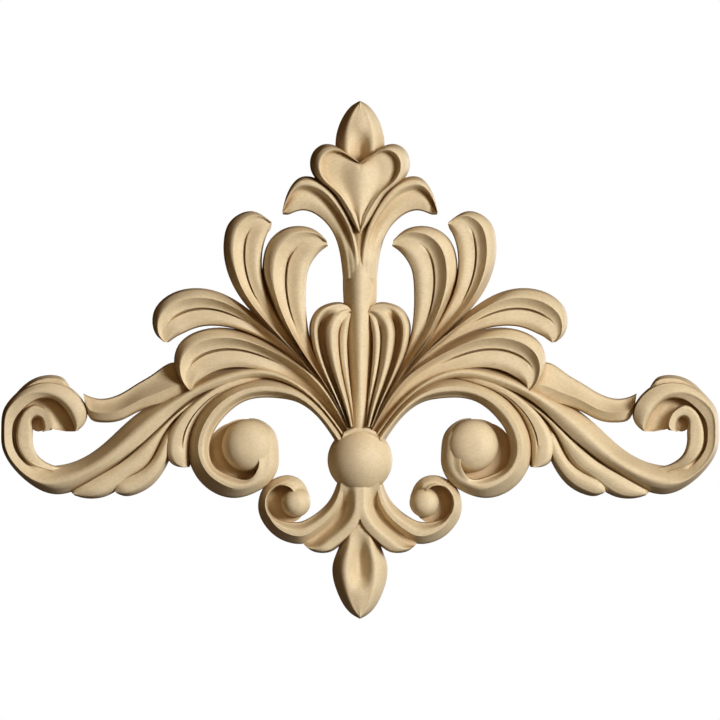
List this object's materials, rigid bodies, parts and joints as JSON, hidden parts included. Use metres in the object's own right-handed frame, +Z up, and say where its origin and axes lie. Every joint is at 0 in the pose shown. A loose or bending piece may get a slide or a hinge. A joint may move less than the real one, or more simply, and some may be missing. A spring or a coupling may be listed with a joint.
{
  "type": "carved applique ornament",
  "caption": "Symmetrical pale wood applique with a round boss, fanned acanthus leaves, a crown leaf on a stem, and scrolled arms.",
  "frame": {"origin": "on the flat back, behind the centre of the round boss", "axes": "+X to the ornament's right as it is seen from the front, along its length; +Y out of the flat back, into the surface that it is fixed to; +Z up, towards the crown leaf; the front faces -Y"},
  "size_m": [0.2872, 0.019, 0.2073],
  "materials": {
    "pulp_wood": "matt, unfinished pale wood pulp"
  },
  "bodies": {
    "root": {"ornament": "pulp_wood"}
  },
  "joints": []
}
